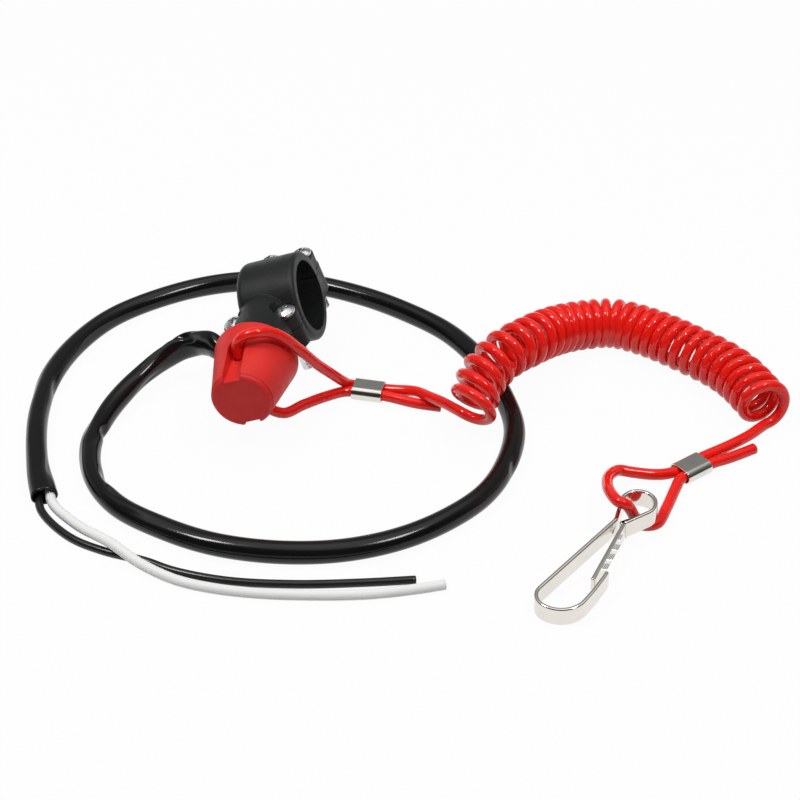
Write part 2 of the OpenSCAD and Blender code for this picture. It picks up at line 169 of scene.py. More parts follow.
def ramp(value: float, low: float, high: float) -> float:
    """Rises smoothly from 0 at low to 1 at high."""
    share = min(1.0, max(0.0, (value - low) / (high - low)))
    return share * share * (3 - 2 * share)


def bump_at(value: float, middle: float, width: float) -> float:
    """Is 1 at middle and falls smoothly away from it over width."""
    return math.exp(-(((value - middle) / width) ** 2))


def mesh_object(
    name: str, verts: Sequence[Vector], faces: Sequence[Sequence[int]], smooth: bool = True
) -> bpy.types.Object:
    """Makes a mesh object.

    Args:
        name: the object's name.
        verts: corners in metres.
        faces: each face as the numbers of its corners.
        smooth: whether its faces are shaded as one curved surface.

    Returns:
        The new object, in the scene.
    """
    mesh = bpy.data.meshes.new(name)
    mesh.from_pydata([tuple(v) for v in verts], [], [list(f) for f in faces])
    mesh.polygons.foreach_set("use_smooth", [smooth] * len(mesh.polygons))
    mesh.validate()
    mesh.update()
    made = bpy.data.objects.new(name, mesh)
    bpy.context.scene.collection.objects.link(made)
    return made


def ring_faces(rings: int, around: int, start: int = 0) -> list[tuple[int, int, int, int]]:
    """Joins rings of corners into a tube's wall.

    Args:
        rings: how many rings there are.
        around: how many corners each ring has.
        start: the number of the first ring's first corner.

    Returns:
        Four-sided faces whose outside is the tube's outside.
    """
    faces = []
    for i in range(rings - 1):
        for k in range(around):
            a = start + i * around + k
            b = start + i * around + (k + 1) % around
            faces.append((a, b, b + around, a + around))
    return faces


@dataclass
class Tube:
    """A round cord along a line, with a small chamfer round its two cut ends."""

    name: str
    line: list[Vector]
    radius: float
    around: int = 16
    edge: float = 0.00025

    def ring(self, at: Vector, across: Vector, up: Vector, radius: float) -> list[Vector]:
        """Gives one ring of corners round a point."""
        turns = [2 * math.pi * k / self.around for k in range(self.around)]
        return [at + radius * (math.cos(t) * across + math.sin(t) * up) for t in turns]

    def build(self) -> bpy.types.Object:
        """Makes the tube's mesh.

        Returns:
            The tube as an object.
        """
        heading, across = headings(self.line), carried_sides(self.line)
        last = len(self.line) - 1
        verts: list[Vector] = []
        cut = [(0.0, self.radius - self.edge), (self.edge, self.radius)]
        stations = [(0, s, r) for s, r in cut]
        stations += [(i, 0.0, self.radius) for i in range(1, last)]
        stations += [(last, -s, r) for s, r in reversed(cut)]
        for i, shift, radius in stations:
            up = across[i].cross(heading[i])
            verts += self.ring(self.line[i] + shift * heading[i], across[i], -up, radius)
        faces: list[Sequence[int]] = list(ring_faces(len(stations), self.around))
        for first, flip in ((0, True), (len(stations) - 1, False)):
            base = len(verts)
            verts.append(self.line[0 if flip else last])
            for k in range(self.around):
                a = first * self.around + k
                b = first * self.around + (k + 1) % self.around
                faces.append((b, a, base) if flip else (a, b, base))
        return mesh_object(self.name, verts, faces)


# The switch's own place


@dataclass
class SwitchPlace:
    """The switch's axes on the table, read from the clamp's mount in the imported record."""

    record: dict
    clamp_offset: float = 2.1 * MM

    def __post_init__(self) -> None:
        """Works out the middle of the switch and how far it lies rolled."""
        clamp = next(m for m in self.record["mounts"] if m["name"] == "handlebar_clamp")
        self.along = Vector(clamp["axis"]).normalized()
        self.up = Vector((-self.along.z, 0.0, self.along.x))
        self.middle = Vector(clamp["pos_m"]) - self.clamp_offset * self.along

    def at(self, across: float, reach: float, height: float) -> Vector:
        """Gives a point of the switch in the model's frame.

        Args:
            across: millimetres along the handlebar, to the right.
            reach: millimetres towards the cap from the bar's axis.
            height: millimetres above the split between the housing halves.

        Returns:
            The point in metres.
        """
        return self.middle + MM * (across * self.along + height * self.up - reach * Vector((0, 1, 0)))


@dataclass(frozen=True)
class Ferrule:
    """Where a crimped ferrule lies on the table and which way it points."""

    middle: Point
    turn: float

    def at(self, along: float, side: float) -> Vector:
        """Gives a point by its distance along and across the ferrule, in millimetres."""
        turn = math.radians(self.turn)
        x, y, z = self.middle
        shift_x = along * math.cos(turn) - side * math.sin(turn)
        shift_y = along * math.sin(turn) + side * math.cos(turn)
        return MM * Vector((x + shift_x, y + shift_y, z))


def table_points(points: Sequence[Point]) -> list[Vector]:
    """Turns points in millimetres into vectors in metres."""
    return [MM * Vector(p) for p in points]


# Shared effects, as node groups


class Effect(Enum):
    """Effects that several finishes share."""

    MOTTLE = "mottle"
    GRAIN = "fine_grain"
    SCUFF = "scuffs"


@dataclass
class EffectLibrary:
    """Builds each shared effect once, as a shader node group."""

    made: dict[Effect, bpy.types.NodeTree] = field(default_factory=dict)

    def group(self, effect: Effect) -> bpy.types.NodeTree:
        """Gives an effect's node group, building it the first time."""
        if effect not in self.made:
            builders = {Effect.MOTTLE: self.mottle, Effect.GRAIN: self.grain, Effect.SCUFF: self.scuff}
            self.made[effect] = builders[effect]()
        return self.made[effect]

    def start(
        self, name: str, inputs: Sequence[tuple[str, str]], outputs: Sequence[tuple[str, str]]
    ) -> tuple[bpy.types.NodeTree, bpy.types.Node, bpy.types.Node]:
        """Starts a node group with its sockets.

        Args:
            name: the group's name.
            inputs: each input's name and socket type.
            outputs: each output's name and socket type.

        Returns:
            The group, its input node and its output node.
        """
        tree = bpy.data.node_groups.new(name, "ShaderNodeTree")
        for label, kind in inputs:
            tree.interface.new_socket(name=label, in_out="INPUT", socket_type=kind)
        for label, kind in outputs:
            tree.interface.new_socket(name=label, in_out="OUTPUT", socket_type=kind)
        return tree, tree.nodes.new("NodeGroupInput"), tree.nodes.new("NodeGroupOutput")

    def noise_node(self, tree: bpy.types.NodeTree, entry: bpy.types.Node, detail: float) -> bpy.types.Node:
        """Adds a noise texture on object coordinates, with its scale from the group's Scale input."""
        place = tree.nodes.new("ShaderNodeTexCoord")
        texture = tree.nodes.new("ShaderNodeTexNoise")
        texture.inputs["Detail"].default_value = detail
        tree.links.new(place.outputs["Object"], texture.inputs["Vector"])
        tree.links.new(entry.outputs["Scale"], texture.inputs["Scale"])
        return texture

    def map_range(
        self, tree: bpy.types.NodeTree, source: bpy.types.NodeSocket, span: tuple[float, float, float, float]
    ) -> bpy.types.Node:
        """Adds a Map Range node that maps span's first two numbers to its last two."""
        node = tree.nodes.new("ShaderNodeMapRange")
        for label, value in zip(("From Min", "From Max", "To Min", "To Max"), span):
            node.inputs[label].default_value = value
        tree.links.new(source, node.inputs["Value"])
        return node

    def mottle(self) -> bpy.types.NodeTree:
        """Mixes two close colours in soft patches, and gives the patches as a mask too."""
        tree, entry, leave = self.start(
            "mottle",
            [("Scale", "NodeSocketFloat"), ("Colour", "NodeSocketColor"), ("Patch", "NodeSocketColor")],
            [("Colour", "NodeSocketColor"), ("Mask", "NodeSocketFloat")],
        )
        texture = self.noise_node(tree, entry, 4.0)
        mask = self.map_range(tree, texture.outputs["Fac"], (0.35, 0.65, 0.0, 1.0))
        mix = tree.nodes.new("ShaderNodeMix")
        mix.data_type = "RGBA"
        tree.links.new(mask.outputs["Result"], mix.inputs["Factor"])
        tree.links.new(entry.outputs["Colour"], mix.inputs["A"])
        tree.links.new(entry.outputs["Patch"], mix.inputs["B"])
        tree.links.new(mix.outputs["Result"], leave.inputs["Colour"])
        tree.links.new(mask.outputs["Result"], leave.inputs["Mask"])
        return tree

    def grain(self) -> bpy.types.NodeTree:
        """Gives the height of a fine moulded grain over a broader unevenness."""
        tree, entry, leave = self.start(
            "fine_grain",
            [("Scale", "NodeSocketFloat"), ("Broad", "NodeSocketFloat")],
            [("Height", "NodeSocketFloat")],
        )
        fine = self.noise_node(tree, entry, 2.0)
        broad = self.noise_node(tree, entry, 1.0)
        slower = tree.nodes.new("ShaderNodeMath")
        slower.operation = "MULTIPLY"
        slower.inputs[1].default_value = 0.12
        tree.links.new(entry.outputs["Scale"], slower.inputs[0])
        tree.links.new(slower.outputs[0], broad.inputs["Scale"])
        add = tree.nodes.new("ShaderNodeMath")
        add.operation = "MULTIPLY_ADD"
        tree.links.new(broad.outputs["Fac"], add.inputs[0])
        tree.links.new(entry.outputs["Broad"], add.inputs[1])
        tree.links.new(fine.outputs["Fac"], add.inputs[2])
        tree.links.new(add.outputs[0], leave.inputs["Height"])
        return tree

    def scuff(self) -> bpy.types.NodeTree:
        """Gives a roughness that rises in thin streaks and smears, as handling leaves them."""
        tree, entry, leave = self.start(
            "scuffs",
            [("Scale", "NodeSocketFloat"), ("Low", "NodeSocketFloat"), ("High", "NodeSocketFloat")],
            [("Roughness", "NodeSocketFloat")],
        )
        texture = self.noise_node(tree, entry, 8.0)
        texture.inputs["Distortion"].default_value = 1.5
        node = self.map_range(tree, texture.outputs["Fac"], (0.4, 0.7, 0.0, 1.0))
        tree.links.new(entry.outputs["Low"], node.inputs["To Min"])
        tree.links.new(entry.outputs["High"], node.inputs["To Max"])
        tree.links.new(node.outputs["Result"], leave.inputs["Roughness"])
        return tree


# Finishes


Colour = tuple[float, float, float]


@dataclass(frozen=True)
class Finish:
    """One surface finish: two close colours, a span of roughness, and a grain."""

    name: str
    colour: Colour
    patch: Colour
    patch_scale: float
    rough: tuple[float, float]
    scuff_scale: float = 120.0
    grain_scale: float = 2500.0
    grain_height: float = 0.0
    grain_broad: float = 0.5
    metallic: float = 0.0
    specular: float = 0.5
    subsurface: float = 0.0
    edge_round: float = 0.0

    def material(self, effects: EffectLibrary) -> bpy.types.Material:
        """Builds the finish as a material.

        Args:
            effects: the shared node groups.

        Returns:
            The new material.
        """
        made = bpy.data.materials.new(self.name)
        made.use_nodes = True
        tree = made.node_tree
        shader = tree.nodes["Principled BSDF"]
        shader.inputs["Metallic"].default_value = self.metallic
        shader.inputs["Specular IOR Level"].default_value = self.specular
        shader.inputs["Subsurface Weight"].default_value = self.subsurface
        shader.inputs["Subsurface Radius"].default_value = (1.0, 0.25, 0.2)
        shader.inputs["Subsurface Scale"].default_value = 0.6 * MM
        mottle = self.place(tree, effects.group(Effect.MOTTLE))
        mottle.inputs["Scale"].default_value = self.patch_scale
        mottle.inputs["Colour"].default_value = (*self.colour, 1.0)
        mottle.inputs["Patch"].default_value = (*self.patch, 1.0)
        tree.links.new(mottle.outputs["Colour"], shader.inputs["Base Color"])
        scuff = self.place(tree, effects.group(Effect.SCUFF))
        scuff.inputs["Scale"].default_value = self.scuff_scale
        scuff.inputs["Low"].default_value, scuff.inputs["High"].default_value = self.rough
        tree.links.new(scuff.outputs["Roughness"], shader.inputs["Roughness"])
        self.relief(tree, effects, shader)
        return made

    def place(self, tree: bpy.types.NodeTree, group: bpy.types.NodeTree) -> bpy.types.Node:
        """Places a shared group in a material."""
        node = tree.nodes.new("ShaderNodeGroup")
        node.node_tree = group
        return node

    def relief(self, tree: bpy.types.NodeTree, effects: EffectLibrary, shader: bpy.types.Node) -> None:
        """Adds the grain as a bump, over rounded edges where the finish asks for them."""
        if not self.grain_height and not self.edge_round:
            return
        bump = tree.nodes.new("ShaderNodeBump")
        bump.inputs["Distance"].default_value = self.grain_height
        bump.inputs["Strength"].default_value = 1.0
        grain = self.place(tree, effects.group(Effect.GRAIN))
        grain.inputs["Scale"].default_value = self.grain_scale
        grain.inputs["Broad"].default_value = self.grain_broad
        tree.links.new(grain.outputs["Height"], bump.inputs["Height"])
        if self.edge_round:
            edge = tree.nodes.new("ShaderNodeBevel")
            edge.samples = 6
            edge.inputs["Radius"].default_value = self.edge_round
            tree.links.new(edge.outputs["Normal"], bump.inputs["Normal"])
        tree.links.new(bump.outputs["Normal"], shader.inputs["Normal"])


HOUSING = Finish(
    "housing_black", (0.0085, 0.0105, 0.0092), (0.013, 0.016, 0.014), 90.0, (0.40, 0.52),
    grain_scale=2600.0, grain_height=0.00008, specular=0.32, edge_round=0.4 * MM,
)
CAP = Finish(
    "cap_red", (0.72, 0.020, 0.016), (0.78, 0.030, 0.022), 110.0, (0.46, 0.58),
    grain_scale=2200.0, grain_height=0.00005, specular=0.34, subsurface=0.12, edge_round=0.8 * MM,
)
CORD = Finish(
    "cord_red", (0.88, 0.014, 0.009), (0.92, 0.020, 0.012), 160.0, (0.08, 0.09),
    scuff_scale=30.0, specular=0.4, subsurface=0.4,
)
VINYL = Finish(
    "sleeve_black", (0.0045, 0.0055, 0.0048), (0.007, 0.008, 0.007), 60.0, (0.15, 0.18),
    scuff_scale=40.0, specular=0.34,
)
WHITE_WIRE = Finish(
    "wire_white", (0.88, 0.88, 0.87), (0.87, 0.87, 0.86), 20.0, (0.45, 0.46),
    scuff_scale=10.0, specular=0.2,
)
BLACK_WIRE = Finish(
    "wire_black", (0.008, 0.009, 0.008), (0.012, 0.012, 0.011), 200.0, (0.24, 0.28),
    scuff_scale=60.0,
)
ZINC = Finish(
    "zinc_plate", (0.80, 0.81, 0.82), (0.55, 0.56, 0.57), 520.0, (0.22, 0.40),
    grain_scale=900.0, grain_height=0.00012, metallic=1.0, edge_round=0.15 * MM,
)
NICKEL = Finish(
    "hook_nickel", (0.80, 0.765, 0.71), (0.77, 0.735, 0.68), 150.0, (0.07, 0.13), metallic=1.0,
)
FERRULE = Finish(
    "ferrule_nickel", (0.78, 0.75, 0.69), (0.72, 0.70, 0.65), 200.0, (0.09, 0.16), metallic=1.0,
)
BRASS = Finish(
    "sheet_brass", (0.78, 0.55, 0.24), (0.66, 0.45, 0.18), 300.0, (0.2, 0.35), metallic=1.0,
    grain_scale=1200.0, grain_height=0.00003,
)
CARRIER = Finish(
    "carrier_brown", (0.16, 0.075, 0.03), (0.20, 0.09, 0.04), 250.0, (0.4, 0.55),
    grain_scale=1800.0, grain_height=0.00004,
)
ACETAL = Finish(
    "plunger_acetal", (0.72, 0.69, 0.60), (0.68, 0.65, 0.56), 150.0, (0.3, 0.4), subsurface=0.2,
    grain_scale=1800.0, grain_height=0.00003,
)
SPRING = Finish(
    "spring_wire", (0.6, 0.61, 0.62), (0.5, 0.5, 0.5), 400.0, (0.2, 0.35), metallic=1.0,
    grain_scale=2000.0, grain_height=0.00002,
)


@dataclass
class Workshop:
    """Builds each finish once and dresses pieces with it."""

    effects: EffectLibrary = field(default_factory=EffectLibrary)
    made: dict[str, bpy.types.Material] = field(default_factory=dict)

    def dress(self, piece: bpy.types.Object, finish: Finish) -> None:
        """Gives a piece one finish all over."""
        if finish.name not in self.made:
            self.made[finish.name] = finish.material(self.effects)
        piece.data.materials.clear()
        piece.data.materials.append(self.made[finish.name])


# Camera


@dataclass(frozen=True)
class PhotoCamera:
    """The camera at the photograph's place. It looks along +Y, turned a little and down."""

    place: Point = (97.45, -436.96, 315.33)
    azimuth: float = 7.5
    elevation: float = 36.0
    lens: float = 78.75
    sensor: float = 36.0

    def build(self) -> bpy.types.Object:
        """Makes the scene's camera.

        Returns:
            The camera object.
        """
        turn, down = math.radians(self.azimuth), math.radians(self.elevation)
        look = Vector((-math.sin(turn) * math.cos(down), math.cos(turn) * math.cos(down), -math.sin(down)))
        data = bpy.data.cameras.new("photo_camera")
        data.lens = self.lens
        data.sensor_width = self.sensor
        data.clip_start = 0.01
        data.clip_end = 20.0
        camera = bpy.data.objects.new("photo_camera", data)
        camera.location = MM * Vector(self.place)
        camera.rotation_euler = look.to_track_quat("-Z", "Y").to_euler()
        bpy.context.scene.collection.objects.link(camera)
        bpy.context.scene.camera = camera
        return camera


# Lanyard


@dataclass
class Lanyard:
    """One red cord: looped through the cap, coiled, and looped through the hook's eye."""

    place: SwitchPlace
    cord_d: float = 3.3 * MM
    coil_d: float = 16.0 * MM
    hole_reach: float = 40.1
    hole_heights: tuple[float, float] = (-6.5, 7.5)
    strand_side: float = 1.85
    ferrule_half: float = 4.6
    straight_half: float = 6.0
    cap_ferrule: Ferrule = Ferrule((31, -6, 2.25), -5)
    hook_ferrule: Ferrule = Ferrule((129, -32, 2.25), 44)
    tail_to_ferrule: tuple[Point, ...] = ((54, -11, 1.8), (46, -10.5, 2.1))
    under_cap: tuple[Point, ...] = ((19, -12, 3.2), (13, -18, 3.8), (8, -23.5, 4.2), (3.5, -25, 7))
    over_cap: tuple[Point, ...] = (
        (-4.7, -25, 28.7), (-2.7, -25, 31.6), (1, -24, 32.8), (4.5, -21.5, 31.6), (7.5, -20, 29.5),
        (10.5, -18.5, 26), (13.5, -16.5, 21.5), (16.5, -13.5, 16), (20, -10, 10.5), (23, -6.5, 5.5),
    )
    to_coil: tuple[Point, ...] = ((45.5, -6.5, 3.6), (50.5, -11.5, 5.6), (55, -16, 7.2))
    coil_axis: tuple[Point, ...] = (
        (64.6, -28, 13.8), (65.5, -17, 15), (67.5, -9, 15.2), (70, -3.5, 15.2), (73, 2.5, 14.8),
        (76.5, 8.5, 13.4), (80, 14.5, 12), (84, 21, 10.2), (89, 26.5, 8.8), (96, 30.5, 8.1),
        (104, 32.2, 8.1), (115.5, 28.4, 8.1), (130.5, 18.8, 8.1), (138, 12.9, 8.1),
        (143.5, 6.5, 8.1), (148, -1.5, 8.1), (151, -7, 8.1),
    )
    from_coil: tuple[Point, ...] = ((146, -13.5, 1.9), (139.5, -20, 2.1))
    round_eye: tuple[Point, ...] = (
        (118.3, -37, 2.8), (112, -37.8, 3.6), (108.2, -38.3, 4.3), (105.5, -43.5, 6), (105.1, -50, 8.1),
        (106.2, -57, 10.5), (108.4, -61.6, 11.6), (110.3, -61.8, 11.1), (111.6, -61.3, 9.2),
        (112.6, -60.7, 6.9), (113.7, -60.1, 4.6), (115, -59.5, 2.6), (117.2, -58.7, 1.7),
        (119.7, -57.3, 1.7), (122.1, -50.5, 1.8), (124.7, -41, 1.9),
    )
    hook_tail: tuple[Point, ...] = ((140.5, -25, 2), (147.5, -19.5, 1.8))
    pitches: tuple[tuple[float, float], ...] = (
        (0, 6.0), (13, 7.2), (28, 6.6), (46, 5.4), (56, 4.2), (67, 3.6), (91, 3.5), (103, 4.1),
        (121, 4.4), (141, 4.7),
    )
    lean: float = 25.0
    lean_span: tuple[float, float] = (8, 60)
    yaw: float = 25.0
    yaw_span: tuple[float, float] = (2, 34)
    start_turn: float = 240.0
    end_turn: float = 268.0
    per_turn: int = 24

    def pitch(self, reach: float) -> float:
        """Gives the distance between turns, by how far along the coil they lie, both in millimetres."""
        for (low, a), (high, b) in zip(self.pitches, self.pitches[1:]):
            if reach <= high:
                return a + (b - a) * max(0.0, reach - low) / (high - low)
        return self.pitches[-1][1]

    def helix(self) -> list[Vector]:
        """Works out the coil's turns. The first turns lean back and to the side, as the strand pulls them.

        Returns:
            Points along the coiled cord.
        """
        axis = even_line(catmull_rom(table_points(self.coil_axis), MM), 0.25 * MM)
        heading, across = headings(axis), sides(axis)
        reach = reaches(axis)
        step = reach[-1] / (len(axis) - 1)
        turns = [0.0]
        for r in reach[:-1]:
            turns.append(turns[-1] + step / MM / self.pitch(r / MM))
        part = (self.end_turn - self.start_turn) / 360
        total = round(turns[-1] - part) + part
        radius = (self.coil_d - self.cord_d) / 2
        out: list[Vector] = []
        j = 0
        count = round(total * self.per_turn)
        for k in range(count + 1):
            want = turns[-1] * k / count
            while j < len(turns) - 2 and turns[j + 1] < want:
                j += 1
            share = (want - turns[j]) / (turns[j + 1] - turns[j])
            middle = axis[j].lerp(axis[j + 1], share)
            lean = math.radians(self.lean) * (1 - ramp(reach[j] / MM, *self.lean_span))
            yaw = math.radians(self.yaw) * (1 - ramp(reach[j] / MM, *self.yaw_span))
            up = math.cos(lean) * across[j].cross(heading[j]) - math.sin(lean) * heading[j]
            side = math.cos(yaw) * across[j] - math.sin(yaw) * heading[j]
            angle = math.radians(self.start_turn) + 2 * math.pi * total * k / count
            out.append(middle + radius * (math.cos(angle) * side + math.sin(angle) * up))
        return out

    def route(self) -> list[Vector]:
        """Joins the loops and the coil into one line.

        Returns:
            The cord's centreline from one cut end to the other.
        """
        side, half = self.strand_side, self.straight_half
        near = table_points(self.tail_to_ferrule)
        near += [self.cap_ferrule.at(along, -side) for along in (half, -half)]
        near += table_points(self.under_cap)
        near += [self.place.at(0, self.hole_reach, height) for height in self.hole_heights]
        near += table_points(self.over_cap)
        near += [self.cap_ferrule.at(along, side) for along in (-half, half)]
        near += table_points(self.to_coil)
        far = table_points(self.from_coil)
        far += [self.hook_ferrule.at(along, side) for along in (half, -half)]
        far += table_points(self.round_eye)
        far += [self.hook_ferrule.at(along, -side) for along in (-half, half)]
        far += table_points(self.hook_tail)
        return even_line(catmull_rom(near + self.helix() + far, 0.5 * MM), 0.8 * MM)

    def build(self, shop: Workshop, frame: dict) -> bpy.types.Object:
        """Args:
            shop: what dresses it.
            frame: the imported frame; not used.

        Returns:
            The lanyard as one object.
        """
        line = self.route()
        cord = Tube("lanyard", line, self.cord_d / 2).build()
        shop.dress(cord, CORD)
        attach(cord, "cap_and_lanyard")
        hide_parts("lanyard_cap_loop", "lanyard_coil", "lanyard_hook_loop")
        tuple(self.cap_ferrule.at(self.ferrule_half, -self.strand_side))
        return cord


# Cable and wires


@dataclass(frozen=True)
class Crease:
    """A soft fold in the sleeve's wall.

    Places are in millimetres along the sleeve and degrees round it, where 0 is the side on the right
    of the way to its open end and 90 is the top.
    """

    reach: float
    turn: float
    length: float
    spread: float
    depth: float
    slant: float = 0.0

    def at(self, reach: float, turn: float) -> float:
        """Gives how far in the fold pushes the wall at a place, in millimetres."""
        off = reach - self.reach
        round_off = (turn - self.turn - self.slant * off + 180) % 360 - 180
        return self.depth * bump_at(off, 0.0, self.length) * bump_at(round_off, 0.0, self.spread)


@dataclass
class CableSleeve:
    """The black vinyl sleeve, squashed and wrinkled near the switch and open at its far end."""

    place: SwitchPlace
    diameter: float = 6.5 * MM
    wall: float = 0.55 * MM
    exit_reach: float = 23.5
    exit_sides: tuple[float, float] = (-7.3, -13.5)
    route_points: tuple[Point, ...] = (
        (-18, -5.5, 12.4), (-22.5, -2.5, 11.6), (-27.5, -2, 10.3), (-32, -5, 8.7), (-36.5, -10.5, 6.8),
        (-41.5, -19, 4.8), (-45, -31, 3.5), (-45.5, -45, 3.3), (-41, -59, 3.3), (-31, -71, 3.3),
        (-16, -79, 3.3), (0, -84, 3.3), (18, -85, 3.3), (35, -82, 3.3), (50, -75, 3.3),
        (62, -65, 3.3), (71, -53, 3.3), (76, -38, 3.3), (77, -22, 3.3), (73, -7, 3.3), (64, 12, 3.3),
        (52, 27, 3.3), (38, 37, 3.3), (22, 45, 3.3), (4, 50, 3.3), (-14, 50, 3.3), (-30, 45, 3.3),
        (-45, 35, 3.3), (-57, 22, 3.3), (-64, 6, 3.3), (-67, -11, 3.3), (-66, -28, 3.3),
        (-62, -45, 3.3), (-57, -59, 3.3), (-52, -70, 3.3),
    )
    rise: float = 2.6
    rise_at: tuple[float, float] = (10, 8)
    around: int = 56
    step: float = 0.7 * MM
    rest: float = 0.05 * MM
    flat_width: float = 0.8
    flat_height: float = 1.42
    flat_from: tuple[float, float] = (2, 9)
    flat_until: tuple[float, float] = (24, 40)
    mouth_depth: float = 14.0
    mouth_from: float = 22.0
    mouth_width: float = 0.17
    mouth_height: float = 0.1
    drifts: tuple[tuple[float, float, float], ...] = ((0.035, 9.0, 0.0), (0.03, 23.0, 1.0))
    creases: tuple[Crease, ...] = (
        Crease(14, 60, 4.5, 22, 0.9, 6), Crease(20, 112, 4, 20, 0.8, -7), Crease(30, 66, 8, 17, 1.0, 2),
        Crease(37, 200, 6, 34, 0.9), Crease(66, 172, 2.2, 42, 1.1, 4), Crease(71, 120, 5, 26, 0.5, -5),
        Crease(62, 30, 9, 26, 0.5, 2), Crease(80, 20, 9, 30, 0.5, -2), Crease(92, 168, 4.0, 38, 1.1, 3),
        Crease(98, 110, 7, 24, 0.5, -3), Crease(112, 60, 12, 24, 0.35, 1), Crease(233, 30, 3.5, 34, 0.7, 5),
        Crease(262, 150, 10, 30, 0.4, 1), Crease(420, 20, 14, 30, 0.5, 1), Crease(445, 165, 12, 34, 0.6, -1),
        Crease(474, 160, 5, 32, 0.6, 3), Crease(482, 15, 9, 28, 0.5, -2), Crease(505, 90, 9, 30, 0.7, 1),
        Crease(516, 150, 6, 26, 0.6, -3),
    )

    def line(self) -> list[Vector]:
        """Gives the sleeve's centreline from the housing to its open end."""
        start = [self.place.at(side, self.exit_reach, 0) for side in self.exit_sides]
        return even_line(catmull_rom(start + table_points(self.route_points), MM), self.step)

    def squash(self, reach: float, whole: float) -> tuple[float, float]:
        """Gives how wide and how tall the section is at a place, against a round one."""
        near = ramp(reach, *self.flat_from) * (1 - ramp(reach, *self.flat_until))
        mouth = ramp(reach, whole - self.mouth_from, whole)
        wide = 1 + (self.flat_width - 1) * near + self.mouth_width * mouth
        tall = 1 + (self.flat_height - 1) * near - self.mouth_height * mouth
        drift = sum(size * math.sin(reach / wave + shift) for size, wave, shift in self.drifts)
        return wide + drift, tall - drift

    def ring(
        self, at: Vector, across: Vector, up: Vector, reach: float, whole: float, inset: float
    ) -> list[Vector]:
        """Gives one ring of the wall's corners, set in by inset metres."""
        wide, tall = self.squash(reach, whole)
        radius = self.diameter / 2
        out: list[Vector] = []
        for k in range(self.around):
            turn = 360 * k / self.around
            dent = sum(c.at(reach, turn) for c in self.creases) * MM
            size = radius - dent - inset
            angle = math.radians(turn)
            out.append(at + size * (wide * math.cos(angle) * across + tall * math.sin(angle) * up))
        return out

    def lift(self, ring: list[Vector]) -> list[Vector]:
        """Flattens what would sink into the table, so that the sleeve rests on it."""
        return [Vector((v.x, v.y, max(v.z, self.rest))) for v in ring]

    def build(self, shop: Workshop) -> bpy.types.Object:
        """Returns:
            The sleeve as one object.
        """
        line = self.line()
        reach = [r / MM for r in reaches(line)]
        whole = reach[-1]
        heading, across = headings(line), sides(line)
        stations = [(i, 0.0) for i in range(len(line))]
        rises = [self.rise * MM * bump_at(r, *self.rise_at) for r in reach]
        centres = [point + Vector((0, 0, rise)) for point, rise in zip(line, rises)]
        depth = round(self.mouth_depth * MM / self.step)
        stations += [(i, self.wall) for i in range(len(line) - 1, len(line) - 1 - depth, -1)]
        verts: list[Vector] = []
        for i, inset in stations:
            up = across[i].cross(heading[i])
            verts += self.lift(self.ring(centres[i], across[i], up, reach[i], whole, inset))
        faces: list[Sequence[int]] = [tuple(reversed(f)) for f in ring_faces(len(stations), self.around)]
        last = (len(stations) - 1) * self.around
        faces.append(list(range(self.around)))
        faces.append([last + k for k in reversed(range(self.around))])
        sleeve = mesh_object("sleeve", verts, faces)
        shop.dress(sleeve, VINYL)
        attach(sleeve, "housing")
        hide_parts("cable_sleeve")
        LOG.info("sleeve: %.0f mm", whole)
        return sleeve


@dataclass
class Wire:
    """One insulated wire that comes out of the sleeve's open end."""

    name: str
    node: str
    finish: Finish
    diameter: float
    points: tuple[Point, ...]
    around: int = 20
    step: float = 1.0 * MM

    def build(self, shop: Workshop) -> bpy.types.Object:
        """Returns:
            The wire as one object.
        """
        line = even_line(catmull_rom(table_points(self.points), MM), self.step)
        wire = Tube(self.name, line, self.diameter / 2, self.around).build()
        shop.dress(wire, self.finish)
        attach(wire, "housing")
        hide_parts(self.node)
        return wire


WIRES = (
    Wire(
        "white_wire", "wire_white", WHITE_WIRE, 2.9 * MM,
        (
            (-51.5, -67, 3), (-49, -72, 2.4), (-39, -81, 3), (-28, -88.5, 4.6), (-18, -94.2, 3),
            (-8, -97.5, 1.5), (2, -99.5, 1.5), (14, -100, 1.5), (28, -99, 1.5), (44, -96.5, 1.5),
            (56, -93, 1.5), (64, -90, 1.5),
        ),
    ),
    Wire(
        "black_wire", "wire_black", BLACK_WIRE, 2.4 * MM,
        (
            (-54.5, -68, 2.6), (-52, -74, 1.4), (-41, -84, 1.3), (-30, -88.5, 1.3), (-18, -91, 1.3),
            (-9, -94, 1.3), (6, -96, 1.3), (24, -95, 1.3), (42, -92, 1.3), (56, -89, 1.3),
        ),
    ),
)


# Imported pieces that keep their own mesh


@dataclass(frozen=True)
class SoftEdges:
    """Rounds the edges of a packed metal piece, as tumbling and plating leave them."""

    width: float
    segments: int = 4
    sharper_than: float = 35.0
    flatter_than: float = 0.4
    weld: float = 0.001 * MM

    def add(self, piece: bpy.types.Object) -> None:
        """Adds the modifiers that round a piece's edges."""
        join = piece.modifiers.new("weld", "WELD")
        join.merge_threshold = self.weld
        flat = piece.modifiers.new("flat_faces", "DECIMATE")
        flat.decimate_type = "DISSOLVE"
        flat.angle_limit = math.radians(self.flatter_than)
        edge = piece.modifiers.new("round_edges", "BEVEL")
        edge.width = self.width
        edge.segments = self.segments
        edge.limit_method = "ANGLE"
        edge.angle_limit = math.radians(self.sharper_than)
        edge.use_clamp_overlap = False
        piece.modifiers.new("even_shading", "WEIGHTED_NORMAL")


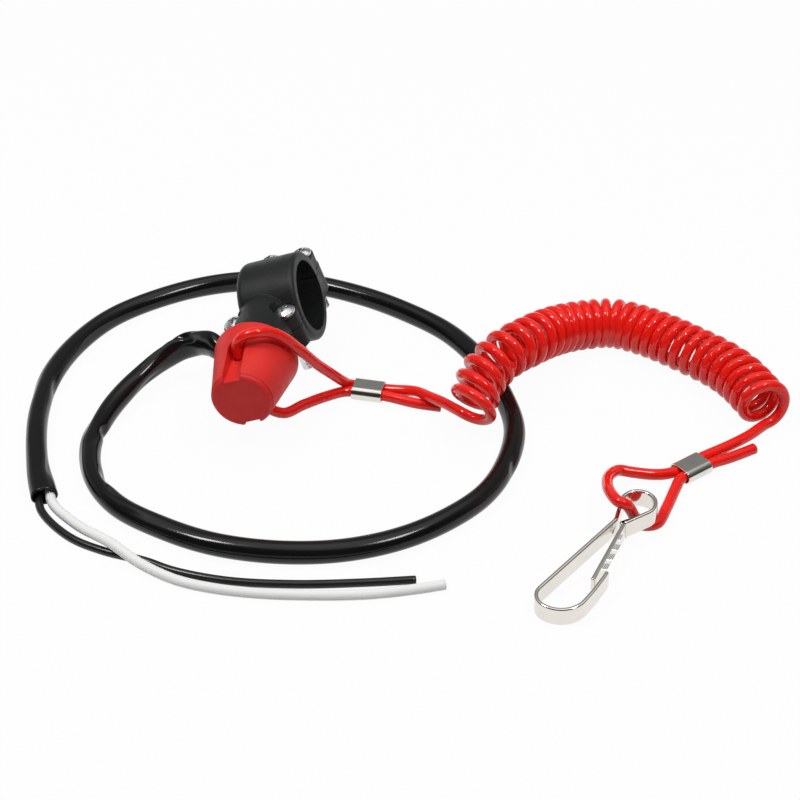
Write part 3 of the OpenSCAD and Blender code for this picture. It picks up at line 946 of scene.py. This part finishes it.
@dataclass(frozen=True)
class GripRidges:
    """The short raised ridges on the gate's outer face, in rows that slant across it."""

    eye: Point = (113.7, -57.4, 3.69)
    turn: float = -114.4
    tilt: float = 4.4
    gate: Point = (10.15, 0.77, 0.2)
    gate_turn: float = 5.5
    face: float = 0.6
    first: float = 3.4
    row_step: float = 4.0
    rows: int = 4
    heights: tuple[float, ...] = (4.75, 3.5, 2.25, 1.0)
    slant: float = 1.3
    length: float = 2.7
    end_slope: float = 0.3
    half_width: float = 0.28
    proud: float = 0.2
    least: float = 1.2

    def frame(self) -> Matrix:
        """Gives the gate's own frame in the model's frame, in millimetres."""
        hook = Matrix.Translation(self.eye) @ Matrix.Rotation(math.radians(self.turn), 4, "Z")
        hook = hook @ Matrix.Rotation(math.radians(self.tilt), 4, "Y")
        return hook @ Matrix.Translation(self.gate) @ Matrix.Rotation(math.radians(self.gate_turn), 4, "Z")

    def ridge(self, start: float, height: float) -> tuple[list[Vector], list[tuple[int, ...]]]:
        """Gives the corners and faces of one ridge, sloped at its ends and rounded along its top."""
        section = [(-1.0, -0.4), (-0.75, 0.6), (0.0, 1.0), (0.75, 0.6), (1.0, -0.4)]
        full = (self.end_slope, self.length - self.end_slope)
        ends = [(0.0, 0.25), (full[0], 1.0), (full[1], 1.0), (self.length, 0.25)]
        corners: list[Vector] = []
        for along, share in ends:
            width = self.half_width * (0.6 + 0.4 * share)
            for side, rise in section:
                out = self.face + self.proud * (rise * share if rise > 0 else rise)
                corners.append(Vector((start + along, out, height + side * width)))
        wide = len(section)
        faces: list[tuple[int, ...]] = []
        for i in range(len(ends) - 1):
            for k in range(wide):
                a, b = i * wide + k, i * wide + (k + 1) % wide
                faces.append((a, a + wide, b + wide, b))
        faces.append(tuple(range(wide)))
        faces.append(tuple(reversed(range((len(ends) - 1) * wide, len(ends) * wide))))
        return corners, faces

    def build(self, shop: Workshop, gate: bpy.types.Object) -> bpy.types.Object:
        """Makes all the ridges as one piece that goes with the gate.

        Args:
            shop: what dresses them.
            gate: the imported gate.

        Returns:
            The ridges as one object.
        """
        verts: list[Vector] = []
        faces: list[Sequence[int]] = []
        place = self.frame()
        for row in range(self.rows):
            for k, height in enumerate(self.heights):
                start = self.first + row * self.row_step - k * self.slant
                if start < self.least:
                    continue
                corners, walls = self.ridge(start, height)
                faces += [tuple(len(verts) + i for i in wall) for wall in walls]
                verts += [MM * (place @ c) for c in corners]
        ridges = mesh_object("grip_ridges", verts, faces, smooth=False)
        shop.dress(ridges, NICKEL)
        ridges.parent = gate
        LOG.info("grip ridges: %d corners", len(verts))
        return ridges


@dataclass(frozen=True)
class PackedFinishes:
    """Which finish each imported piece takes."""

    by_node: tuple[tuple[str, Finish], ...] = (
        ("housing_upper", HOUSING),
        ("housing_lower", HOUSING),
        ("clamp_screws", ZINC),
        ("contact_carrier", CARRIER),
        ("contact_strip_upper", BRASS),
        ("contact_strip_lower", BRASS),
        ("lead_white", WHITE_WIRE),
        ("lead_black", BLACK_WIRE),
        ("plunger", ACETAL),
        ("contact_bridge", BRASS),
        ("return_spring", SPRING),
        ("tether_cap", CAP),
        ("ferrule_cap_end", FERRULE),
        ("ferrule_hook_end", FERRULE),
        ("snap_hook", NICKEL),
        ("hook_gate", NICKEL),
    )
    rounded: ClassVar[dict[str, float]] = {
        "snap_hook": 0.5 * MM,
        "hook_gate": 0.3 * MM,
        "ferrule_cap_end": 0.2 * MM,
        "ferrule_hook_end": 0.2 * MM,
    }

    def dress(self, shop: Workshop, frame: dict) -> None:
        """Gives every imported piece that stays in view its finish."""
        for node, finish in self.by_node:
            shop.dress(frame["nodes"][node], finish)
            if node in self.rounded:
                SoftEdges(self.rounded[node]).add(frame["nodes"][node])
            LOG.info("%s: %s", node, finish.name)


# Studio


@dataclass(frozen=True)
class SoftBox:
    """A rectangular lamp aimed at a point of the object."""

    name: str
    place: Point
    size: tuple[float, float]
    power: float
    aim: Point = (40, -20, 5)

    def build(self) -> bpy.types.Object:
        """Makes the lamp."""
        data = bpy.data.lights.new(self.name, "AREA")
        data.shape = "RECTANGLE"
        data.size, data.size_y = self.size
        data.energy = self.power
        lamp = bpy.data.objects.new(self.name, data)
        lamp.location = MM * Vector(self.place)
        look = MM * Vector(self.aim) - lamp.location
        lamp.rotation_euler = look.to_track_quat("-Z", "Y").to_euler()
        bpy.context.scene.collection.objects.link(lamp)
        return lamp


@dataclass(frozen=True)
class Studio:
    """A table under two soft boxes, in a room that is grey behind the object and dark in front of it."""

    boxes: tuple[SoftBox, ...] = (
        SoftBox("left_box", (-420, -190, 950), (0.2, 0.2), 4.2),
        SoftBox("right_box", (480, -190, 950), (0.2, 0.2), 3.4),
    )
    floor_size: float = 3.0
    floor_grey: float = 0.66
    floor_white: float = 0.96
    room_blend: float = 0.15
    back_room: tuple[tuple[float, float], ...] = (
        (0.0, 0.8), (0.12, 0.4), (0.5, 0.22), (0.75, 0.3), (0.92, 1.3),
    )
    front_room: tuple[tuple[float, float], ...] = (
        (0.0, 0.55), (0.08, 0.06), (0.5, 0.03), (0.86, 0.05), (0.96, 1.0),
    )

    def build(self) -> None:
        """Makes the lamps, the table and the world."""
        for box in self.boxes:
            box.build()
        self.floor()
        self.world()

    def floor(self) -> bpy.types.Object:
        """Makes the table: grey to the light, and white to the camera and in reflections, but for shadows."""
        half = self.floor_size / 2
        corners = [Vector((x, y, 0)) for x, y in ((-half, -half), (half, -half), (half, half), (-half, half))]
        floor = mesh_object("table", corners, [(0, 1, 2, 3)])
        made = bpy.data.materials.new("table_white")
        made.use_nodes = True
        tree = made.node_tree
        shader = tree.nodes["Principled BSDF"]
        shader.inputs["Base Color"].default_value = (*[self.floor_grey] * 3, 1)
        shader.inputs["Roughness"].default_value = 0.9
        shader.inputs["Specular IOR Level"].default_value = 0.1
        glow = tree.nodes.new("ShaderNodeEmission")
        glow.inputs["Color"].default_value = (1, 1, 1, 1)
        glow.inputs["Strength"].default_value = 1.0
        path = tree.nodes.new("ShaderNodeLightPath")
        seen = tree.nodes.new("ShaderNodeMath")
        seen.operation = "MAXIMUM"
        share = tree.nodes.new("ShaderNodeMath")
        share.operation = "MULTIPLY"
        share.inputs[1].default_value = self.floor_white
        mix = tree.nodes.new("ShaderNodeMixShader")
        tree.links.new(path.outputs["Is Camera Ray"], seen.inputs[0])
        tree.links.new(path.outputs["Is Glossy Ray"], seen.inputs[1])
        tree.links.new(seen.outputs[0], share.inputs[0])
        tree.links.new(share.outputs[0], mix.inputs["Fac"])
        tree.links.new(shader.outputs["BSDF"], mix.inputs[1])
        tree.links.new(glow.outputs["Emission"], mix.inputs[2])
        tree.links.new(mix.outputs["Shader"], tree.nodes["Material Output"].inputs["Surface"])
        floor.data.materials.append(made)
        return floor

    def world(self) -> None:
        """Makes the room: white to the camera, and two ramps of grey to the light and in reflections."""
        world = bpy.data.worlds.new("room")
        bpy.context.scene.world = world
        world.use_nodes = True
        tree = world.node_tree
        glow = tree.nodes["Background"]
        glow.inputs["Strength"].default_value = 1.0
        place = tree.nodes.new("ShaderNodeTexCoord")
        split = tree.nodes.new("ShaderNodeSeparateXYZ")
        tree.links.new(place.outputs["Generated"], split.inputs["Vector"])
        side = tree.nodes.new("ShaderNodeMapRange")
        side.inputs["From Min"].default_value = -self.room_blend
        side.inputs["From Max"].default_value = self.room_blend
        tree.links.new(split.outputs["Y"], side.inputs["Value"])
        mix = tree.nodes.new("ShaderNodeMix")
        mix.data_type = "RGBA"
        tree.links.new(side.outputs["Result"], mix.inputs["Factor"])
        for stops, label in ((self.front_room, "A"), (self.back_room, "B")):
            ramp_node = self.tone(tree, stops)
            tree.links.new(split.outputs["Z"], ramp_node.inputs["Fac"])
            tree.links.new(ramp_node.outputs["Color"], mix.inputs[label])
        tree.links.new(mix.outputs["Result"], glow.inputs["Color"])
        white = tree.nodes.new("ShaderNodeBackground")
        white.inputs["Color"].default_value = (1, 1, 1, 1)
        white.inputs["Strength"].default_value = 1.0
        path = tree.nodes.new("ShaderNodeLightPath")
        seen = tree.nodes.new("ShaderNodeMixShader")
        tree.links.new(path.outputs["Is Camera Ray"], seen.inputs["Fac"])
        tree.links.new(glow.outputs["Background"], seen.inputs[1])
        tree.links.new(white.outputs["Background"], seen.inputs[2])
        tree.links.new(seen.outputs["Shader"], tree.nodes["World Output"].inputs["Surface"])

    def tone(self, tree: bpy.types.NodeTree, stops: Sequence[tuple[float, float]]) -> bpy.types.Node:
        """Adds a ramp of greys, by height above the horizon."""
        node = tree.nodes.new("ShaderNodeValToRGB")
        while len(node.color_ramp.elements) < len(stops):
            node.color_ramp.elements.new(0.5)
        for element, (at, grey) in zip(node.color_ramp.elements, stops):
            element.position = at
            element.color = (grey, grey, grey, 1)
        return node


def main() -> None:
    """Builds the camera, the cords, the finishes and the studio, in that order."""
    logging.basicConfig(level=logging.INFO, format="%(name)s: %(message)s")
    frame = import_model()
    bpy.context.scene.view_settings.view_transform = "Standard"
    PhotoCamera().build()
    shop = Workshop()
    place = SwitchPlace(frame["record"])
    Lanyard(place).build(shop, frame)
    CableSleeve(place).build(shop)
    for wire in WIRES:
        wire.build(shop)
    PackedFinishes().dress(shop, frame)
    GripRidges().build(shop, frame["nodes"]["hook_gate"])
    Studio().build()


if __name__ == "__main__":
    main()
